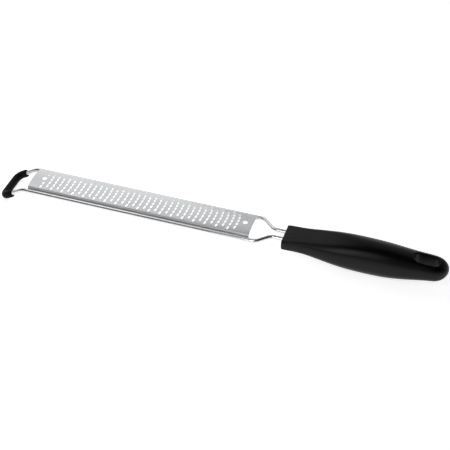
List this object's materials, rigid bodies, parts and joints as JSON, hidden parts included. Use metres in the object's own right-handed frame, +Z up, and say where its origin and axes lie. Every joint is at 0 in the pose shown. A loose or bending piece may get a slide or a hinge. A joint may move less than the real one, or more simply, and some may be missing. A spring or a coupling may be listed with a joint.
{
  "type": "rasp zester",
  "caption": "Handheld rasp zester: long slotted steel blade on a bent wire frame with a rubber-capped tip and a black moulded handle with a hanging hole.",
  "frame": {"origin": "middle of the footprint, on the surface that the foot and the handle's belly rest on", "axes": "+X along the tool towards the handle's tail, +Y to the back as the picture shows it, +Z up, out of the toothed side of the blade"},
  "size_m": [0.3911, 0.0358, 0.0276],
  "materials": {
    "blade_steel": "satin, teeth ground bright",
    "wire_steel": "polished",
    "weld_steel": "as welded",
    "foot_rubber": "matte",
    "handle_plastic": "fine satin grain"
  },
  "bodies": {
    "root": {"blade": "blade_steel", "wire_frame": "wire_steel", "weld_beads": "weld_steel", "foot": "foot_rubber", "handle": "handle_plastic"}
  },
  "joints": []
}
